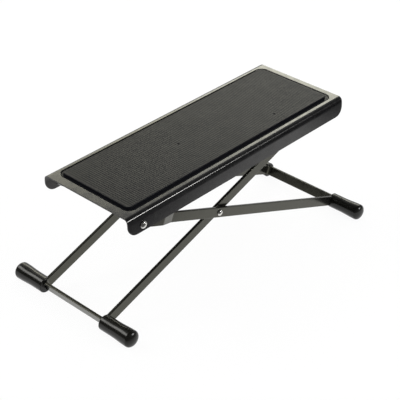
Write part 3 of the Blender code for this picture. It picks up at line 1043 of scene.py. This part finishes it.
def make_floor():
    """A floor that keeps the object's shadow and lets the camera see the white world through it.

    Legs that reach below it at a high setting stay in view. In reflections it carries painted
    shade, being dim on the camera's side of the part and beyond the rack end.
    """
    mesh = bmesh.new()
    low, high = floor_reach
    corners = ((low, low), (high, low), (high, high), (low, high))
    mesh.faces.new([mesh.verts.new((x, y, cad_low.z)) for x, y in corners])
    floor = linked("studio_floor", mesh, Matrix.Identity(4))
    finish, tree, shader = new_finish("studio_white")
    shader.inputs["Base Color"].default_value = floor_colour
    shader.inputs["Roughness"].default_value = floor_roughness
    shader.inputs["Specular IOR Level"].default_value = 0
    glow = add_node(tree, "ShaderNodeEmission")
    glow.inputs["Strength"].default_value = 1
    rays = add_node(tree, "ShaderNodeLightPath")
    # Painted shade: the glow that glossy rays see is dimmed near the camera's side and past the
    # rack end
    near_floor_painted_shade = ramp(tree, along(tree, "Object", near_floor_direction), near_floor_shade, 1,
               near_floor_places)
    end = ramp(tree, along(tree, "Object", end_floor_direction), 1, end_floor_shade,
               end_floor_places)
    floor_painted_shade = add_node(tree, "ShaderNodeMath", {"operation": "MULTIPLY"})
    tree.links.new(near_floor_painted_shade, floor_painted_shade.inputs[0])
    tree.links.new(end, floor_painted_shade.inputs[1])
    tree.links.new(floor_painted_shade.outputs[0], glow.inputs["Color"])
    solid = add_node(tree, "ShaderNodeMixShader")
    tree.links.new(rays.outputs["Is Glossy Ray"], solid.inputs[0])
    tree.links.new(shader.outputs[0], solid.inputs[1])
    tree.links.new(glow.outputs[0], solid.inputs[2])
    share = add_node(tree, "ShaderNodeMath", {"operation": "MULTIPLY"})
    share.inputs[1].default_value = floor_white_share
    tree.links.new(rays.outputs["Is Camera Ray"], share.inputs[0])
    clear = add_node(tree, "ShaderNodeBsdfTransparent")
    both = add_node(tree, "ShaderNodeMixShader")
    tree.links.new(share.outputs[0], both.inputs[0])
    tree.links.new(solid.outputs[0], both.inputs[1])
    tree.links.new(clear.outputs[0], both.inputs[2])
    tree.links.new(both.outputs[0], tree.nodes["Material Output"].inputs["Surface"])
    floor.data.materials.append(finish)


def make_world():
    """White to the camera and level light to matt faces. Glossy rays see a dark ceiling."""
    world = bpy.data.worlds.new("studio")
    bpy.context.scene.world = world
    world.use_nodes = True
    tree = world.node_tree
    place = add_node(tree, "ShaderNodeTexCoord")
    parts = add_node(tree, "ShaderNodeSeparateXYZ")
    tree.links.new(place.outputs["Generated"], parts.inputs[0])
    ceiling = add_node(tree, "ShaderNodeValToRGB")
    stops = ceiling.color_ramp.elements
    stops[0].position, stops[1].position = ceiling_stops[0][0], ceiling_stops[-1][0]
    for position, _ in ceiling_stops[1:-1]:
        stops.new(position)
    for stop, (position, shade) in zip(stops, ceiling_stops):
        stop.color = (shade, shade, shade, 1)
    tree.links.new(parts.outputs["Z"], ceiling.inputs["Fac"])
    side = ramp(tree, along(tree, "Generated", sweep_direction), dark_side_share, 1, sweep_range)
    seen_by_gloss = add_node(tree, "ShaderNodeMath", {"operation": "MULTIPLY"})
    tree.links.new(ceiling.outputs["Color"], seen_by_gloss.inputs[0])
    tree.links.new(side, seen_by_gloss.inputs[1])
    rays = add_node(tree, "ShaderNodeLightPath")
    matt = add_node(tree, "ShaderNodeMix", {"data_type": "FLOAT"})
    matt.inputs[2].default_value = level_light
    tree.links.new(rays.outputs["Is Glossy Ray"], matt.inputs[0])
    tree.links.new(seen_by_gloss.outputs[0], matt.inputs[3])
    level = add_node(tree, "ShaderNodeMix", {"data_type": "FLOAT"})
    tree.links.new(rays.outputs["Is Camera Ray"], level.inputs[0])
    tree.links.new(matt.outputs[0], level.inputs[2])
    level.inputs[3].default_value = 1
    tree.links.new(level.outputs[0], tree.nodes["Background"].inputs["Strength"])
    tree.nodes["Background"].inputs["Color"].default_value = (1, 1, 1, 1)


def make_softbox(name, place, aim, size, radiance, tint):
    """A rectangular lamp that faces a point."""
    data = bpy.data.lights.new(name, "AREA")
    data.shape = "RECTANGLE"
    data.size, data.size_y = size
    data.energy = radiance * math.pi * size[0] * size[1]
    data.color = tint
    lamp = bpy.data.objects.new(name, data)
    lamp.location = place
    lamp.rotation_euler = (Vector(aim) - Vector(place)).to_track_quat("-Z", "Y").to_euler()
    bpy.context.scene.collection.objects.link(lamp)


def make_camera():
    data = bpy.data.cameras.new("photo_camera")
    data.lens = camera_lens
    data.sensor_width = camera_sensor
    camera = bpy.data.objects.new("photo_camera", data)
    camera.location = camera_place
    camera.rotation_euler = Euler([math.radians(a) for a in camera_turn])
    bpy.context.scene.collection.objects.link(camera)
    bpy.context.scene.camera = camera


def build():
    make_plate()
    make_mat()
    make_rear_frame()
    make_front_frame()
    make_height_rod()
    for side_name, side in (("near", -1), ("far", 1)):
        make_rack(f"slotted_rack_{side_name}", side, f"height_rack_{side_name}")
        make_side_joints(side_name, side)
        make_foot(f"rear_{side_name}", side, rear_leg_length, -1, rear_leg_outer, rear_axis,
                  "rear_frame")
        make_foot(f"front_{side_name}", side, -front_leg_lower, 1, front_leg_outer, front_axis,
                  "front_frame")
    make_floor()
    make_world()
    for name, lamp in softboxes.items():
        make_softbox(name, **lamp)
    make_camera()


build()
bpy.context.scene.view_settings.view_transform = "Standard"
